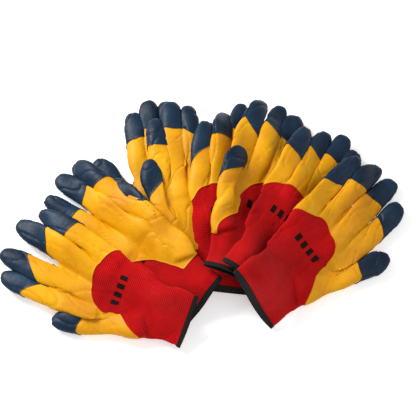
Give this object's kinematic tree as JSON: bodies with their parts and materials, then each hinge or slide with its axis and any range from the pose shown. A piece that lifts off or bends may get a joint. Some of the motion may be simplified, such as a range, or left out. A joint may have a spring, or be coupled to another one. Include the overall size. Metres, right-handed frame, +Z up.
{
  "type": "coated knit work gloves",
  "caption": "Pile of knit work gloves, dip-coated over palm and fingers, fanned out flat with overlapping cuffs.",
  "frame": {"origin": "on the table, under the cuff of the lowest glove", "axes": "+Z up from the table, +Y the way the fan of fingers points, +X to the right of it"},
  "size_m": [0.5256, 0.3423, 0.082],
  "materials": {
    "knit_red": "matte",
    "hem_black": "matte",
    "latex_yellow": "satin",
    "latex_blue": "satin",
    "print_black": "matte"
  },
  "bodies": {
    "glove_1": {"glove_1_knit_liner": "knit_red", "glove_1_hem_binding": "hem_black", "glove_1_palm_coat": "latex_yellow", "glove_1_fingertip_coats": "latex_blue", "glove_1_printed_mark": "print_black"},
    "glove_2": {"glove_2_knit_liner": "knit_red", "glove_2_hem_binding": "hem_black", "glove_2_palm_coat": "latex_yellow", "glove_2_fingertip_coats": "latex_blue", "glove_2_printed_mark": "print_black"},
    "glove_3": {"glove_3_knit_liner": "knit_red", "glove_3_hem_binding": "hem_black", "glove_3_palm_coat": "latex_yellow", "glove_3_fingertip_coats": "latex_blue", "glove_3_printed_mark": "print_black"},
    "glove_4": {"glove_4_knit_liner": "knit_red", "glove_4_hem_binding": "hem_black", "glove_4_palm_coat": "latex_yellow", "glove_4_fingertip_coats": "latex_blue", "glove_4_printed_mark": "print_black"},
    "glove_5": {"glove_5_knit_liner": "knit_red", "glove_5_hem_binding": "hem_black", "glove_5_palm_coat": "latex_yellow", "glove_5_fingertip_coats": "latex_blue", "glove_5_printed_mark": "print_black"},
    "glove_6": {"glove_6_knit_liner": "knit_red", "glove_6_hem_binding": "hem_black", "glove_6_palm_coat": "latex_yellow", "glove_6_fingertip_coats": "latex_blue", "glove_6_printed_mark": "print_black"},
    "glove_7": {"glove_7_knit_liner": "knit_red", "glove_7_hem_binding": "hem_black", "glove_7_palm_coat": "latex_yellow", "glove_7_fingertip_coats": "latex_blue", "glove_7_printed_mark": "print_black"},
    "glove_8": {"glove_8_knit_liner": "knit_red", "glove_8_hem_binding": "hem_black", "glove_8_palm_coat": "latex_yellow", "glove_8_fingertip_coats": "latex_blue", "glove_8_printed_mark": "print_black"}
  },
  "joints": [
    {"name": "lift_glove_4", "type": "slide", "parent": "glove_3", "child": "glove_4", "axis": [0, 0, 1], "range_m": [0, 0.12]},
    {"name": "lift_glove_5", "type": "slide", "parent": "glove_4", "child": "glove_5", "axis": [0, 0, 1], "range_m": [0, 0.12]},
    {"name": "lift_glove_2", "type": "slide", "parent": "glove_5", "child": "glove_2", "axis": [0, 0, 1], "range_m": [0, 0.12]},
    {"name": "lift_glove_1", "type": "slide", "parent": "glove_2", "child": "glove_1", "axis": [0, 0, 1], "range_m": [0, 0.12]},
    {"name": "lift_glove_6", "type": "slide", "parent": "glove_2", "child": "glove_6", "axis": [0, 0, 1], "range_m": [0, 0.12]},
    {"name": "lift_glove_7", "type": "slide", "parent": "glove_6", "child": "glove_7", "axis": [0, 0, 1], "range_m": [0, 0.12]},
    {"name": "lift_glove_8", "type": "slide", "parent": "glove_7", "child": "glove_8", "axis": [0, 0, 1], "range_m": [0, 0.12]}
  ]
}
